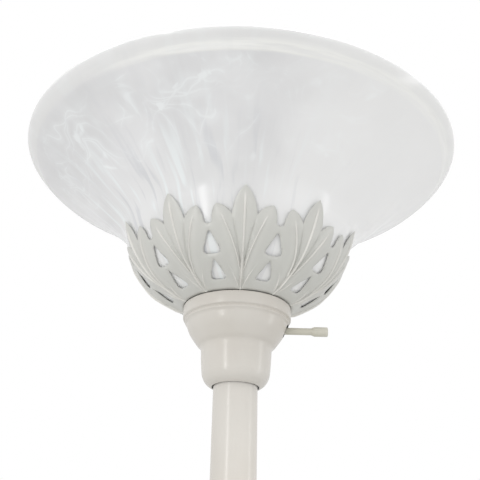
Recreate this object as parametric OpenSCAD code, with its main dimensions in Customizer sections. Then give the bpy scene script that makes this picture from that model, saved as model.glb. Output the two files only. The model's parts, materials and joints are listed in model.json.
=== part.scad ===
// Torchiere floor lamp. The glass bowl opens upwards and sits in a cast ring of leaves.
// Millimetres. Z is up, the floor is z = 0 and the pole stands on the Z axis.
// The switch points along +X, the cord inlet is at the back, +Y.

/* [Overall] */
// Height from the floor to the rim of the glass
overall_h = 1805.5; // [1400:0.5:2000]
// Diameter of the glass shade at its rim
shade_d = 362; // [290:1:440]
// Diameter of the round base
base_d = 254; // [210:1:310]
// Diameter of the steel pole
pole_d = 34; // [28:0.5:41]

/* [Glass shade] */
// Height of the glass from its seat to its rim
shade_h = 128.4; // [110:0.1:150]
// Thickness of the glass
glass_t = 4.5; // [3.5:0.1:5.5]
// Width of the upturned lip at the rim
lip_w = 10.3; // [8:0.1:13]
// Height of the upturned lip
lip_h = 12.4; // [8:0.1:14]

/* [Leaf gallery] */
// Number of palmettes round the gallery
leaf_count = 10; // [8:1:12]
// Turn of the first palmette from the front
leaf_turn = 2.5; // [-18:0.5:18]
// Diameter across the leaf tips
gallery_d = 194; // [165:1:230]
// Height of the leaf tips above the socket cup
gallery_h = 59.4; // [50:0.1:70]
// Wall of the casting
gallery_t = 1.8; // [1.4:0.1:2.4]
// Thickness of its flat floor
gallery_floor = 3; // [2.4:0.1:4]
// Air between the glass and the leaves
gallery_gap = 0.6; // [0.3:0.1:1.5]
// Thickness of the gasket under the glass
gasket_t = 1.5; // [1:0.1:2.5]

/* [Socket cup and foot] */
// Diameter of the cup at its top band
cup_d = 85.6; // [72:0.1:102]
// Height of the cup from the pole to the gallery
cup_h = 63.6; // [58:0.1:76]
// Height of the plain band at the top of the cup
band_h = 10.1; // [8:0.1:12]
// Wall of the spun cup
cup_t = 2; // [1.5:0.1:2.4]
// How far the cup's neck stands out past the pole
neck_step = 10.6; // [9:0.1:13]
// How deep the pole end sits in the cup or the foot
pole_seat = 10; // [8:0.5:12]
// Thickness of the cup's floor
cup_floor = 3; // [2:0.1:4]

/* [Pole] */
// Wall of the pole tubes
tube_t = 1.2; // [1:0.1:1.8]
// Height of the slim ring at each joint of the pole
ring_h = 6; // [4:0.5:10]
// How far a joint ring stands out past the tube
ring_proud = 1.4; // [0.8:0.1:3]
// Length of the threaded plug in each tube end
plug_h = 12; // [9:0.5:18]
// Diameter of the threaded nipples
nipple_d = 9.9; // [8:0.1:11.5]
// Bore of the nipples
nipple_bore = 6.6; // [5.6:0.1:7]

/* [Base] */
// Thickness of the soft pad under the base
pad_t = 3; // [2:0.1:4]
// Thickness of the steel bottom plate
plate_t = 1.5; // [1.2:0.1:2]
// Gap between the floor and the cover's edge
skirt_gap = 2.5; // [1:0.1:2.9]
// Height of the cover's upright skirt
skirt_h = 15.5; // [14:0.1:20]
// Height of the rounded shoulder over the skirt
shoulder_h = 6; // [4:0.1:8]
// Height of the low dome over the shoulder
dome_h = 14; // [12:0.1:18]
// Wall of the cover
cover_t = 1.5; // [1.2:0.1:2]
// Thickness of the iron weight at its rim
weight_h = 16; // [12:0.1:17]
// Room between the weight's rim and the cover's skirt
weight_gap = 8.5; // [7:0.5:12]

/* [Lamp holder and switch] */
// Diameter of the bulb's screw cap
cap_d = 26; // [22:0.1:28]
// Height of the screw shell
shell_h = 25; // [22:0.5:30]
// Wall of the threaded phenolic sleeve
sleeve_t = 3; // [2.4:0.1:4]
// Height of the phenolic switch body
body_h = 24; // [22:0.5:28]
// Height of the switch stem below the gallery seam
stem_drop = 17.2; // [15:0.1:19]
// Diameter of the switch stem
stem_d = 5.5; // [4.6:0.1:6.6]
// Diameter of the switch knob
knob_d = 7.6; // [7:0.1:10]
// Length of the knob
knob_l = 10.6; // [8:0.1:14]
// Reach of the knob's end from the lamp's axis
knob_reach = 71.8; // [66:0.1:86]
// Gap round the stem where it leaves the cup
stem_gap = 2.7; // [1:0.1:4]

/* [Bulb] */
// Diameter of the bulb
bulb_d = 68; // [56:1:82]
// Length of the bulb over its cap
bulb_l = 126; // [110:1:130]

/* [Wiring] */
// Diameter of the supply lead inside the lamp
lead_d = 4.4; // [3.6:0.1:5.2]
// Height of the cord inlet above the floor
inlet_z = 8; // [7.6:0.1:8.6]
// Diameter of the inlet bushing's flange
bushing_d = 10.4; // [9.6:0.1:10.8]

/* [Hidden] */
$fn = 96;

shade_r = shade_d / 2;
base_r = base_d / 2;
pole_r = pole_d / 2;
cup_r = cup_d / 2;
neck_r = pole_r + neck_step;
nipple_r = nipple_d / 2;
ease = 0.2;                 // radial room round a nipple in a plain hole
end_gap = 0.1;              // radial room round the pole end in its seat

// Heights, from the rim down to the floor
seam_z = overall_h - shade_h - gasket_t - gallery_floor;   // top of the cup, under the gallery
glass_z = overall_h - shade_h;                             // seat of the glass
cup_z = seam_z - cup_h;                                    // lower edge of the cup
pole_top = cup_z + pole_seat;
cover_z = skirt_gap + skirt_h + shoulder_h + dome_h;       // top of the base cover
foot_top = cover_z + cup_h;
pole_bottom = foot_top - pole_seat;
tube_l = (pole_top - pole_bottom - 2 * ring_h) / 3;
stem_z = seam_z - stem_drop;

// Lamp holder, built round the switch stem
cap_r = cap_d / 2;
stem_lift = 10.5;                       // stem's axis over the underside of the switch body
body_z = stem_z - stem_lift;            // underside of the switch body
sleeve_z = body_z + body_h;             // sleeve and screw shell stand on it
thread_run = 0.4;                       // room between the bulb's thread and the shell's
shell_r = cap_r + thread_run;           // inside of the screw shell
shell_t = 0.4;
cap_pitch = 3.6;                        // pitch of the bulb's thread
wave = 0.5;                             // depth of the rolled thread
sleeve_in = shell_r + wave + shell_t + 0.2;
sleeve_r = sleeve_in + sleeve_t;
sleeve_h = shell_h + 3.4;
sleeve_pitch = 2.8;
sleeve_wave = 0.9;
sleeve_out = sleeve_r + sleeve_wave;    // crest of the sleeve's thread
shade_hole_r = sleeve_out + 1.6;
contact_h = 2.6;                        // height of the centre contact
tip_z = sleeve_z + contact_h;           // where the bulb's tip meets it
body_r = sleeve_in + 2.4;               // switch body, a little wider than the sleeve's foot
flat_y = body_r - 2.9;                  // flats of the switch body, under the terminals
terminal_z = stem_z - 5;
terminal_r = 1.6;
socket_cap_h = 14;
socket_cap_t = 1.4;
hub_h = 8;                              // threaded hub in the socket cap
holder_z = body_z - socket_cap_h;       // underside of the socket cap
nut_across = 16;                        // hexagon nuts of the nipples

// A point on the quadratic curve a, b, c, and n steps along it
function bend(a, b, c, n) = [for (i = [0:n]) let (t = i / n)
    (1 - t) * (1 - t) * a + 2 * t * (1 - t) * b + t * t * c];
// A smooth curve through every point of p, with n steps between neighbours
function smooth_step(a, b, c, d, t) = b + (c - a) * t / 2
    + (2 * a - 5 * b + 4 * c - d) * t * t / 2 + (3 * b - a - 3 * c + d) * t * t * t / 2;
function smooth(p, n) = [for (i = [0:len(p) - 2], k = [0:n - 1])
    smooth_step(p[max(i - 1, 0)], p[i], p[i + 1], p[min(i + 2, len(p) - 1)], k / n),
    p[len(p) - 1]];
// The curve p moved t to its left
function beside(p, t) = [for (i = [0:len(p) - 1])
    let (d = p[min(i + 1, len(p) - 1)] - p[max(i - 1, 0)], u = d / norm(d))
    p[i] + t * [-u[1], u[0]]];
function flip(p) = [for (i = [len(p) - 1:-1:0]) p[i]];
// Points scaled by s and moved by m
function place(p, s, m) = [for (q = p) [q[0] * s[0] + m[0], q[1] * s[1] + m[1]]];

// A ring between the radii ri and ro, from z up
module ring(ri, ro, z, h) {
    translate([0, 0, z])
        difference() {
            cylinder(r = ro, h = h);
            translate([0, 0, -1]) cylinder(r = ri, h = h + 2);
        }
}

// A round bar along +X from x0 to x1
module bar_x(r, x0, x1) {
    translate([x0, 0, 0]) rotate([0, 90, 0]) cylinder(r = r, h = x1 - x0);
}

// One coupling nipple, from z up
module nipple(z, h) {
    ring(nipple_bore / 2, nipple_r, z, h);
}

// A hexagon nut on a nipple
module nut(across, z, h) {
    translate([0, 0, z])
        difference() {
            cylinder(d = across / cos(30), h = h, $fn = 6);
            translate([0, 0, -1]) cylinder(r = nipple_r, h = h + 2);
        }
}

// ---- Base ----

pad_r = base_r - 9;
plate_r = base_r - 6;
plate_z = pad_t;
weight_z = plate_z + plate_t;
weight_r = base_r - cover_t - weight_gap;
tier_r = base_r - 32;               // the weight's upper step
boss_r = 30;                        // its middle, which carries the clamp
recess_r = 24;                      // hollow under the boss, for the nut and the lead
boss_t = 8.5;                       // iron left over the hollow
recess_top = cover_z - cover_t - boss_t;
screw_count = 3;
screw_ring = base_r * 0.62;
screw_r = 2;
screw_head_r = 3.6;
screw_l = 8;

module at_plate_screws() {
    for (i = [0:screw_count - 1])
        rotate([0, 0, 30 + i * 360 / screw_count]) translate([screw_ring, 0, plate_z]) children();
}

module plate_screw(extra) {
    translate([0, 0, -extra]) cylinder(r = screw_head_r, h = extra);
    cylinder(r1 = screw_head_r, r2 = screw_r, h = plate_t);
    translate([0, 0, plate_t - 0.1]) cylinder(r = screw_r, h = screw_l);
}

module base_pad() {
    color("dimgray") cylinder(r = pad_r, h = pad_t);
}

module base_plate() {
    color("silver") difference() {
        translate([0, 0, plate_z]) cylinder(r = plate_r, h = plate_t);
        at_plate_screws() plate_screw(1);
    }
}

module plate_screws() {
    color("gainsboro") at_plate_screws() {
        cylinder(r1 = screw_head_r, r2 = screw_r, h = plate_t);
        translate([0, 0, plate_t]) cylinder(r = screw_r, h = screw_l - 0.1);
    }
}

groove_w = lead_d + 4;
groove_top = inlet_z + lead_d / 2 + 1.5;

module base_weight() {
    color("dimgray") difference() {
        union() {
            translate([0, 0, weight_z]) cylinder(r = weight_r, h = weight_h);
            translate([0, 0, weight_z]) cylinder(r = tier_r, h = weight_h + shoulder_h);
            translate([0, 0, weight_z]) cylinder(r = boss_r, h = cover_z - cover_t - weight_z);
        }
        translate([0, 0, weight_z - 1]) cylinder(r = recess_r, h = recess_top - weight_z + 1);
        cylinder(r = nipple_r + ease, h = cover_z);
        translate([-groove_w / 2, 0, weight_z - 1])
            cube([groove_w, base_r, groove_top - weight_z + 1]);
        at_plate_screws() translate([0, 0, plate_t]) cylinder(r = screw_r, h = screw_l + 1);
    }
}

// Outline of the cover: upright skirt, round shoulder, low dome and a small top step
step_r = cup_r + 17;
dome_lift = 2.4;
function cover_curve() = concat(
    [[base_r, skirt_gap], [base_r, skirt_gap + skirt_h]],
    bend([base_r, skirt_gap + skirt_h], [base_r, skirt_gap + skirt_h + shoulder_h],
         [base_r - shoulder_h, skirt_gap + skirt_h + shoulder_h], 6),
    bend([base_r - shoulder_h - 1, skirt_gap + skirt_h + shoulder_h + 0.2],
         [(base_r + step_r) / 2, cover_z - dome_lift - 1.2],
         [step_r + 2, cover_z - dome_lift], 10),
    bend([step_r, cover_z - dome_lift + 0.2], [step_r, cover_z], [step_r - 3, cover_z], 4));

module base_cover() {
    outer = cover_curve();
    inner = beside(outer, cover_t);
    color("ivory") difference() {
        rotate_extrude() polygon(concat([[nipple_r + ease, cover_z]], flip(outer),
            [[base_r - cover_t, skirt_gap]],
            [for (i = [1:len(inner) - 2]) inner[i]],
            [[step_r - 3, cover_z - cover_t], [nipple_r + ease, cover_z - cover_t]]));
        translate([0, 0, inlet_z]) rotate([-90, 0, 0])
            cylinder(r = bushing_d / 2 - 1.2, h = base_r + 5);
    }
}

// The snap bushing where the supply cord comes in
flange_t = 1.6;
inner_flange = 1.2;
module inlet_bushing() {
    bore_r = lead_d / 2 + 0.4;
    flat = base_r - sqrt(base_r * base_r - bushing_d * bushing_d / 4);
    wall_in = base_r - cover_t - flat;
    color("ivory") translate([0, 0, inlet_z]) rotate([-90, 0, 0]) difference() {
        union() {
            translate([0, 0, wall_in - inner_flange]) cylinder(d = bushing_d - 1, h = inner_flange);
            translate([0, 0, wall_in - 0.5])
                cylinder(r = bushing_d / 2 - 1.2, h = base_r - wall_in + 0.6);
            translate([0, 0, base_r]) cylinder(d1 = bushing_d, d2 = bushing_d - 1.6, h = flange_t);
        }
        cylinder(r = bore_r, h = 2 * base_r);
    }
}

washer_t = 1.2;
base_nut_h = 6;
grip = plug_h - 1;                  // how far a nipple screws into a plug
base_nipple_z = recess_top - washer_t - base_nut_h - 1.2;

module base_nipple() {
    color("goldenrod") nipple(base_nipple_z, pole_bottom + grip - base_nipple_z);
}

module base_lock_washer() {
    color("silver") ring(nipple_r + ease, nipple_r + 5, recess_top - washer_t, washer_t);
}

module base_nut() {
    color("goldenrod") nut(nut_across, recess_top - washer_t - base_nut_h, base_nut_h);
}

// ---- Socket cup, and the foot collar that echoes it ----

bowl_h = 23.3;                      // height of the rounded bowl between the band and the neck

// Outline of the cup below its band, from the step down to the pole, z from the seam
function bowl_curve() = concat(
    [[cup_r - 1.4, -band_h - 0.8]],
    smooth([[cup_r - 1.7, -band_h - 1.6], [cup_r - 1.7, -band_h - 2.6],
            [cup_r - 3, -band_h - 3.8]], 3),
    smooth([[cup_r - 4.2, -band_h - 7.5], [cup_r - 6, -band_h - 11.5],
            [cup_r - 8.7, -band_h - 15.5], [(cup_r - 8.7 + neck_r) / 2 + 0.3, -band_h - 19.7],
            [neck_r + 0.2, -band_h - bowl_h]], 3),
    smooth([[neck_r, -band_h - bowl_h - 2], [neck_r - 0.5, (9.6 - cup_h - band_h - bowl_h) / 2],
            [neck_r - 1.2, 11.6 - cup_h],
            [neck_r - 2, 7.6 - cup_h], [pole_r + 6.5, 3.8 - cup_h],
            [pole_r + 3.7, 1 - cup_h], [pole_r + 1, -cup_h]], 3));

function cup_curve() = concat(
    [[cup_r - 0.8, 0], [cup_r, -0.9], [cup_r, -band_h + 0.8], [cup_r - 0.7, -band_h]],
    bowl_curve());

// The turned shell with its pole seat, standing below z = 0
module turned_cup() {
    outer = cup_curve();
    inner = [for (q = beside(outer, -cup_t))
        if (q[1] > -cup_h + pole_seat + cup_floor + 0.4 && q[1] < -band_h - 4.5) q];
    floor_r = inner[len(inner) - 1][0];
    rotate_extrude() difference() {
        polygon(concat([[0, 0]], outer, [[0, -cup_h]]));
        polygon(concat([[0, 1], [cup_r - cup_t, 1], [cup_r - cup_t, -band_h]], inner,
            [[floor_r, -cup_h + pole_seat + cup_floor], [0, -cup_h + pole_seat + cup_floor]]));
        translate([0, -cup_h - 1]) square([pole_r + end_gap, pole_seat + 1]);
        translate([0, -cup_h]) square([nipple_r + ease, cup_h]);
    }
}

module socket_cup() {
    color("ivory") difference() {
        translate([0, 0, seam_z]) turned_cup();
        translate([0, 0, stem_z]) bar_x(stem_d / 2 + stem_gap, body_r, cup_r + 5);
    }
}

module foot_collar() {
    color("ivory") translate([0, 0, cover_z]) mirror([0, 0, 1]) turned_cup();
}

// ---- Pole ----

module tube(z) {
    color("ivory") ring(pole_r - tube_t, pole_r, z, tube_l);
}

function tube_z(i) = pole_bottom + i * (tube_l + ring_h);

module pole_lower() {
    tube(tube_z(0));
}

module pole_middle() {
    tube(tube_z(1));
}

module pole_upper() {
    tube(tube_z(2));
}

module pole_plugs() {
    color("silver") for (i = [0:2], end = [0, tube_l - plug_h])
        ring(nipple_r, pole_r - tube_t, tube_z(i) + end, plug_h);
}

module joint_ring(z) {
    edge = 1;
    color("ivory") translate([0, 0, z]) rotate_extrude() polygon([
        [nipple_r + ease, 0], [pole_r, 0], [pole_r + ring_proud, edge],
        [pole_r + ring_proud, ring_h - edge], [pole_r, ring_h], [nipple_r + ease, ring_h]]);
}

module joint_ring_lower() {
    joint_ring(tube_z(1) - ring_h);
}

module joint_ring_upper() {
    joint_ring(tube_z(2) - ring_h);
}

module joint_nipples() {
    color("goldenrod") for (i = [1, 2]) nipple(tube_z(i) - ring_h - grip, ring_h + 2 * grip);
}

// ---- Head clamp ----

head_floor = pole_top + cup_floor;
head_nut_h = 5;

module head_nipple() {
    color("goldenrod") nipple(pole_top - grip, holder_z + hub_h - pole_top + grip);
}

module head_washer() {
    color("silver") ring(nipple_r + ease, nipple_r + 6, head_floor, washer_t);
}

module head_nut() {
    color("goldenrod") nut(nut_across, head_floor + washer_t, head_nut_h);
}

// ---- Leaf gallery ----

gallery_r = gallery_d / 2;
// Its bowl as fractions of the way from the cup's edge to the leaf tips
bowl_shape = [[0, 0], [0.244, 0.108], [0.566, 0.31], [0.788, 0.579], [0.93, 0.848], [1, 1]];
gallery_curve = smooth(place(bowl_shape, [gallery_r - cup_r, gallery_h], [cup_r, 0]), 4);
// Radius of the gallery's outside at the height h over the seam
function gallery_at(h) = lookup(h, [for (q = gallery_curve) [q[1], q[0]]]);

// Heights on one palmette, as fractions of the tip's height, and angles from its middle
palmette = 360 / leaf_count;
side_tip = [0.367 * palmette, 0.793 * gallery_h];
side_notch = [0.169 * palmette, 0.672 * gallery_h];
gap_side = [0.445 * palmette, 0.613 * gallery_h];
gap_floor = 0.582 * gallery_h;

// A point at the angle a and height h, seen along the radius at the angle of view v
function seen(a, h, v) = [gallery_at(h) * sin(a - v), h];
over = gallery_h + 4;

// Cuts the notch between the middle lobe and a side lobe
module lobe_notch() {
    v = side_notch[0];
    foot = [0, side_notch[1]];
    mid = seen(0, gallery_h, v);
    side = seen(side_tip[0], side_tip[1], v);
    polygon(concat([[mid[0] - 1, over], [mid[0] - 1, gallery_h]],
        bend(mid, [mid[0] * 0.2, side_notch[1] + 0.6 * (mid[1] - foot[1])], foot, 5),
        bend(foot, [side[0] * 0.22, side_notch[1] + 0.8 * (side[1] - foot[1])], side, 5),
        [[side[0] + 1, side[1]], [side[0] + 1, over]]));
}

// Cuts the gap between two palmettes, and the outer edges of their side lobes
module palmette_gap() {
    v = palmette / 2;
    side = seen(side_tip[0], side_tip[1], v);
    wall = seen(gap_side[0], gap_side[1], v);
    edge = concat([[side[0] - 1, over], [side[0] - 1, side[1]]],
        bend(side, [wall[0] * 1.05, wall[1] + 0.85 * (side[1] - wall[1])], wall, 5),
        bend(wall, [wall[0] * 0.9, gap_floor], [0, gap_floor], 4));
    polygon(concat(edge, [for (q = flip(edge)) [-q[0], q[1]]]));
}

// A window with a rounded foot: half width w, from the height low to its apex
module window(w, low, sill, apex) {
    polygon(concat([[0, apex]], bend([w * 0.93, low], [w * 0.7, sill], [0, sill], 3),
        flip(bend([-w * 0.93, low], [-w * 0.7, sill], [0, sill], 3))));
}

upper_window = [0.143 * palmette, 0.308 * gallery_h, 0.285 * gallery_h, 0.493 * gallery_h];
lower_window = [0.165 * palmette, 0.074 * gallery_h, 0.212 * gallery_h];

// Stands a flat outline up and pushes it through the wall along the radius
module through_wall() {
    rotate([90, 0, 90]) linear_extrude(gallery_r + 40) children();
}

module leaf_gallery() {
    inner = [for (q = beside(gallery_curve, gallery_t)) if (q[1] > gallery_floor + 0.4) q];
    color("lightgray") difference() {
        union() {
            translate([0, 0, seam_z]) rotate_extrude() polygon(concat(
                [[shade_hole_r, 0]], gallery_curve, flip(inner),
                [[inner[0][0] - 1.5, gallery_floor], [shade_hole_r, gallery_floor]]));
            ring(cup_r - cup_t - 3, cup_r - cup_t - 0.3, seam_z - 3, 3.5);
        }
        translate([0, 0, seam_z]) for (i = [0:leaf_count - 1])
            rotate([0, 0, -90 + leaf_turn + i * palmette]) {
                for (side = [-1, 1]) mirror([0, (1 - side) / 2, 0])
                    rotate([0, 0, side_notch[0]]) through_wall() lobe_notch();
                rotate([0, 0, palmette / 2]) {
                    through_wall() palmette_gap();
                    through_wall() window(gallery_at(upper_window[1]) * sin(upper_window[0]),
                        upper_window[1], upper_window[2], upper_window[3]);
                    lower_window_cut();
                }
            }
    }
}

// The lower window opens where the bowl lies flatter, so it is cut from below
module lower_window_cut() {
    near = gallery_at(lower_window[1]);
    far = gallery_at(lower_window[2]);
    w = near * sin(lower_window[0]);
    translate([0, 0, -1]) linear_extrude(gallery_h * 0.45)
        polygon([[near, -w], [near + 2, -w * 0.96], [far, -0.3], [far, 0.3],
                 [near + 2, w * 0.96], [near, w]]);
}

// ---- Glass ----

module shade_gasket() {
    color("white") ring(shade_hole_r, cup_r - 4, seam_z + gallery_floor, gasket_t);
}

// Outside of the glass: it follows the gallery at gallery_gap, then flares to the crease
// and turns up a little steeper in the lip
flare_shape = [[0.06, 0.115], [0.165, 0.245], [0.283, 0.376], [0.405, 0.507],
               [0.564, 0.671], [0.765, 0.835], [1, 1]];
rim_face = 3;                           // upright edge of the rim
function shade_curve() =
    let (inside = beside(gallery_curve, gallery_t + gallery_gap),
         hold = [for (q = inside) if (q[1] > gallery_floor + gasket_t + 1.2)
             q - [0, gallery_floor + gasket_t]],
         mouth = hold[len(hold) - 1],
         crease = [shade_r - lip_w, shade_h - lip_h])
    concat([[hold[0][0] - 5, 0], [hold[0][0] - 2, 0.3]],
        smooth(concat([for (i = [0:3:len(hold) - 2]) hold[i]], [mouth],
            place(flare_shape, crease - mouth, mouth)), 3),
        bend(crease + [0.8, 0.4], [shade_r - 0.4 * lip_w, shade_h - 0.62 * lip_h],
             [shade_r - 0.5, shade_h - rim_face], 4));

module glass_shade() {
    outer = shade_curve();
    inner = beside(outer, glass_t);
    color("whitesmoke", 0.7) translate([0, 0, glass_z]) rotate_extrude() polygon(concat(
        [[shade_hole_r, 0]], outer,
        [[shade_r, shade_h - 2], [shade_r, shade_h - 0.8], [shade_r - 0.8, shade_h],
         [shade_r - 3, shade_h]],
        flip([for (q = inner) if (q[1] > glass_t + 0.4 && q[1] < shade_h - 0.4) q]),
        [[outer[0][0] - 2, glass_t], [shade_hole_r, glass_t]]));
}

// ---- Lamp holder ----

// A rolled thread as a wavy line up a wall of radius r, from z over the height h
function rolled(r, z, h, pitch, depth) = [for (i = [0:4 * floor(h / pitch)])
    [r + depth * (1 - cos(90 * i)) / 2, z + i * pitch / 4]];

module shade_ring() {
    flange_r = shade_hole_r + 7;
    flange_h = 2.4;
    grip_r = sleeve_out + 2.2;
    grip_h = 5.6;
    flutes = 12;
    seat = glass_z + glass_t;
    color("white") {
        ring(sleeve_out, flange_r, seat, flange_h);
        translate([0, 0, seat + flange_h]) difference() {
            cylinder(r = grip_r, h = grip_h);
            translate([0, 0, -1]) cylinder(r = sleeve_out, h = grip_h + 2);
            for (i = [1:flutes]) rotate([0, 0, i * 360 / flutes])
                translate([grip_r + 0.8, 0, -1]) cylinder(r = 1.4, h = grip_h + 2);
        }
    }
}

module socket_sleeve() {
    thread = rolled(sleeve_r, sleeve_z + 5, sleeve_h - 6, sleeve_pitch, sleeve_wave);
    color("white") rotate_extrude() polygon(concat(
        [[sleeve_in, sleeve_z], [sleeve_r, sleeve_z]], thread,
        [[sleeve_r, sleeve_z + sleeve_h], [sleeve_in, sleeve_z + sleeve_h]]));
}

module screw_shell() {
    line = rolled(shell_r, sleeve_z + 3, shell_h - 3, cap_pitch, wave);
    color("gold") rotate_extrude() polygon(concat(
        [[shell_r - 3, sleeve_z], [shell_r, sleeve_z]],
        [for (q = line) q + [shell_t, 0]], flip(line),
        [[shell_r - 0.4, sleeve_z + shell_t], [shell_r - 3, sleeve_z + shell_t]]));
}

contact_t = 0.5;           // sheet of the contacts
contact_w = 4;
contact_reach = shell_r - 5.4;   // length of the centre contact's tongue, clear of the screw shell

module centre_contact() {
    color("gold") translate([0, 0, sleeve_z]) {
        translate([-contact_reach, -contact_w / 2, 0]) cube([contact_reach + 2, contact_w, contact_t]);
        translate([0, 0, contact_t - 0.1]) cylinder(r1 = 3, r2 = 2, h = contact_h - contact_t + 0.1);
    }
}

module ring_contact() {
    color("gold") translate([cap_r - 6.8, -contact_w / 2, sleeve_z]) {
        cube([2.6, contact_w, contact_t]);
        cube([contact_t, contact_w, 1.8]);
    }
}

switch_run = 0.05;         // radial running clearance of the stem
cam_w = 8.4;               // square cam that works the contacts
cam_l = 8;
cam_room = cam_w / sqrt(2) + 0.6;
terminal_in = cam_room + 1;

module switch_body() {
    color("saddlebrown") difference() {
        translate([0, 0, body_z]) cylinder(r = body_r, h = body_h);
        for (s = [-1, 1]) translate([-body_r, s > 0 ? flat_y : -body_r - 1, body_z - 1])
            cube([2 * body_r, body_r - flat_y + 1, body_h - 5]);
        translate([0, 0, stem_z]) {
            bar_x(cam_room, -cam_l / 2 - 1, cam_l / 2 + 1);
            bar_x(stem_d / 2 + switch_run, 0, body_r + 2);
            translate([-cam_l / 2 - 1, -cam_room, -20]) cube([cam_l + 2, 2 * cam_room, 20]);
        }
        for (s = [-1, 1]) translate([0, 0, terminal_z]) rotate([-s * 90, 0, 0])
            translate([0, 0, terminal_in]) cylinder(r = terminal_r, h = body_r);
    }
}

module terminal_screws() {
    color("goldenrod") for (s = [-1, 1]) translate([0, 0, terminal_z]) rotate([-s * 90, 0, 0]) {
        translate([0, 0, terminal_in]) cylinder(r = terminal_r, h = flat_y - terminal_in);
        translate([0, 0, flat_y]) cylinder(r = 2.9, h = 1.8);
    }
}

module socket_cap() {
    rim_r = body_r + 0.4;
    color("goldenrod") translate([0, 0, holder_z]) difference() {
        union() {
            difference() {
                cylinder(r = rim_r, h = socket_cap_h);
                translate([0, 0, socket_cap_t]) cylinder(r = rim_r - socket_cap_t, h = socket_cap_h);
            }
            cylinder(r = nipple_r + 2.4, h = hub_h);
        }
        translate([0, 0, -1]) cylinder(r = nipple_r, h = socket_cap_h);
    }
}

// ---- Switch ----

knob_x = knob_reach - knob_l;
knob_cone = 2.2;           // short cone between the stem and the knob
knob_seat = knob_reach - 3;   // the stem's end inside the knob

module switch_stem() {
    color("beige") translate([0, 0, stem_z]) bar_x(stem_d / 2, cam_l / 2, knob_seat);
}

module switch_cam() {
    color("white") translate([-cam_l / 2, -cam_w / 2, stem_z - cam_w / 2])
        cube([cam_l, cam_w, cam_w]);
}

module switch_knob() {
    r = knob_d / 2;
    soft = 0.8;
    color("beige") translate([0, 0, stem_z]) rotate([0, 90, 0]) rotate_extrude() polygon([
        [stem_d / 2, knob_x - knob_cone], [stem_d / 2 + 0.15, knob_x - knob_cone], [r - 0.3, knob_x],
        [r, knob_x + soft], [r, knob_reach - soft], [r - 0.25, knob_reach - 0.25],
        [r - soft, knob_reach], [0, knob_reach], [0, knob_seat], [stem_d / 2, knob_seat]]);
}

// ---- Bulb ----

bulb_r = bulb_d / 2;
cap_z = tip_z + 3;                      // lower edge of the screw cap
cap_h = 22;
housing_h = 26;
housing_r = bulb_r * 0.82;
globe_z = cap_z + cap_h + housing_h;
globe_top = tip_z + bulb_l;

module bulb_screw_cap() {
    line = rolled(cap_r - wave, cap_z + 1, cap_h - 1, cap_pitch, wave);
    color("silver") rotate_extrude() polygon(concat(
        [[cap_r - 2, cap_z]], line,
        [[cap_r - wave, cap_z + cap_h], [cap_r - wave - 0.5, cap_z + cap_h]],
        [for (q = flip(line)) q - [0.5, 0]], [[cap_r - 3, cap_z + 0.4]]));
}

module bulb_insulator() {
    color("black") rotate_extrude() polygon([
        [1.8, tip_z + 1], [4, tip_z + 1], [cap_r - 2, cap_z], [cap_r - 3, cap_z + 0.4], [1.8, cap_z]]);
}

module bulb_tip() {
    color("silver") translate([0, 0, tip_z]) {
        cylinder(r = 3.4, h = 1);
        cylinder(r = 1.8, h = 3);
    }
}

module bulb_housing() {
    z = cap_z + cap_h;
    outer = bend([cap_r + 0.6, z - 1.5], [cap_r + 1.5, z + housing_h * 0.4], [housing_r, globe_z], 8);
    inner = beside(outer, 1.6);
    color("white") rotate_extrude() polygon(concat(
        [[cap_r - wave, z - 1.5]], outer, flip([for (q = inner) if (q[1] < globe_z - 1 && q[1] > z) q]),
        [[cap_r - wave, z]]));
}

module bulb_globe() {
    mid = globe_z + 0.3 * (globe_top - globe_z);
    outer = concat(bend([housing_r, globe_z], [bulb_r, globe_z + 8], [bulb_r, mid], 6),
        [for (i = [1:9]) [bulb_r * cos(10 * i), mid + (globe_top - mid) * sin(10 * i)]]);
    inner = beside(outer, 1.2);
    n = len(outer) - 1;
    color("white", 0.8) rotate_extrude() polygon(concat(
        outer, [[0, globe_top - 1.2]], flip([for (i = [1:n - 1]) inner[i]]),
        [[housing_r - 1.4, globe_z]]));
}

// ---- Wiring inside the lamp ----

lead_turn = 11;            // radius of the lead's turn into the base nipple
lead_top = holder_z + hub_h + 1.5;
wire_r = 0.8;
wire_y = flat_y + wire_r + 0.1;

module supply_lead() {
    r = lead_d / 2;
    lead_end = base_r - cover_t - 6;
    color("whitesmoke") {
        translate([0, lead_turn, inlet_z]) rotate([-90, 0, 0]) cylinder(r = r, h = lead_end - lead_turn);
        translate([0, lead_turn, inlet_z + lead_turn]) rotate([90, 0, 90]) rotate([0, 0, 180])
            rotate_extrude(angle = 90) translate([lead_turn, 0]) circle(r = r);
        translate([0, 0, inlet_z + lead_turn])
            cylinder(r = r, h = lead_top - inlet_z - lead_turn);
    }
}

module socket_leads() {
    run_z = lead_top + wire_r;
    color("whitesmoke") for (s = [-1, 1]) {
        translate([0, s, run_z]) rotate([-s * 90, 0, 0]) cylinder(r = wire_r, h = wire_y - 1);
        translate([0, s * wire_y, run_z]) sphere(r = wire_r);
        translate([0, s * wire_y, run_z]) cylinder(r = wire_r, h = terminal_z - 3.2 - run_z);
    }
}

base_pad();
base_plate();
plate_screws();
base_weight();
base_cover();
inlet_bushing();
base_nipple();
base_lock_washer();
base_nut();
foot_collar();
pole_lower();
pole_middle();
pole_upper();
pole_plugs();
joint_ring_lower();
joint_ring_upper();
joint_nipples();
socket_cup();
head_nipple();
head_washer();
head_nut();
leaf_gallery();
shade_gasket();
glass_shade();
shade_ring();
socket_cap();
switch_body();
terminal_screws();
socket_sleeve();
screw_shell();
centre_contact();
ring_contact();
switch_stem();
switch_cam();
switch_knob();
bulb_globe();
bulb_housing();
bulb_screw_cap();
bulb_insulator();
bulb_tip();
supply_lead();
socket_leads();
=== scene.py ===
import json
import math

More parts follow.
